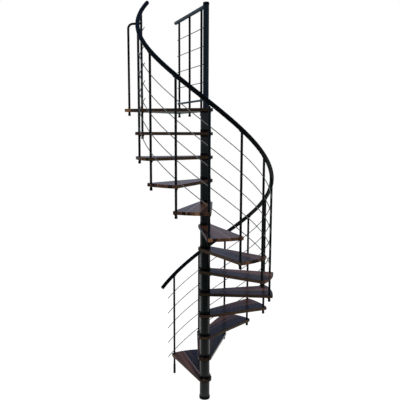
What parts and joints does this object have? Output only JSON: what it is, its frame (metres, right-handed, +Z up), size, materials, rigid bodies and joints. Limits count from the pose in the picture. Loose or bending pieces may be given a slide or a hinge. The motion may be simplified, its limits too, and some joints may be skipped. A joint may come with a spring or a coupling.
{
  "type": "spiral staircase",
  "caption": "Spiral staircase with a steel centre pole, timber treads, a landing and a helical guard of balusters, thin rods and a round handrail.",
  "frame": {"origin": "centre of the base ring's flat underside, on the pole axis, at finished floor level", "axes": "+Z up along the centre pole; +X and +Y level; the stair climbs clockwise seen from above, starting at an azimuth of about 122 degrees from +X"},
  "size_m": [1.4692, 1.4584, 3.9797],
  "materials": {
    "steel_coating": "semi-gloss powder coating, near black",
    "black_fittings": "satin black moulded rings, caps and saddles",
    "handrail_coating": "semi-gloss coating, blue-black",
    "walnut": "laminated dark wood under clear gloss lacquer",
    "stainless_rod": "brushed stainless"
  },
  "bodies": {
    "root": {"base_ring": "black_fittings", "centre_pole": "steel_coating", "pole_cap": "black_fittings", "spacer_tubes": "steel_coating", "clamp_rings": "black_fittings", "tread_01": "walnut", "tread_02": "walnut", "tread_03": "walnut", "tread_04": "walnut", "tread_05": "walnut", "tread_06": "walnut", "tread_07": "walnut", "tread_08": "walnut", "tread_09": "walnut", "tread_10": "walnut", "tread_11": "walnut", "tread_12": "walnut", "landing": "walnut", "baluster_01": "steel_coating", "baluster_02": "steel_coating", "baluster_03": "steel_coating", "baluster_04": "steel_coating", "baluster_05": "steel_coating", "baluster_06": "steel_coating", "baluster_07": "steel_coating", "baluster_08": "steel_coating", "baluster_09": "steel_coating", "baluster_10": "steel_coating", "baluster_11": "steel_coating", "baluster_12": "steel_coating", "baluster_13": "steel_coating", "baluster_feet": "black_fittings", "tread_clamps": "black_fittings", "rail_saddles": "black_fittings", "handrail_lower": "handrail_coating", "handrail_upper": "handrail_coating", "infill_rod_1": "stainless_rod", "infill_rod_2": "stainless_rod", "infill_rod_3": "stainless_rod", "infill_rod_4": "stainless_rod", "infill_rod_5": "stainless_rod", "landing_balusters": "steel_coating", "landing_rail": "handrail_coating", "landing_bar": "handrail_coating", "landing_rods": "stainless_rod", "closing_tube": "steel_coating"}
  },
  "joints": []
}
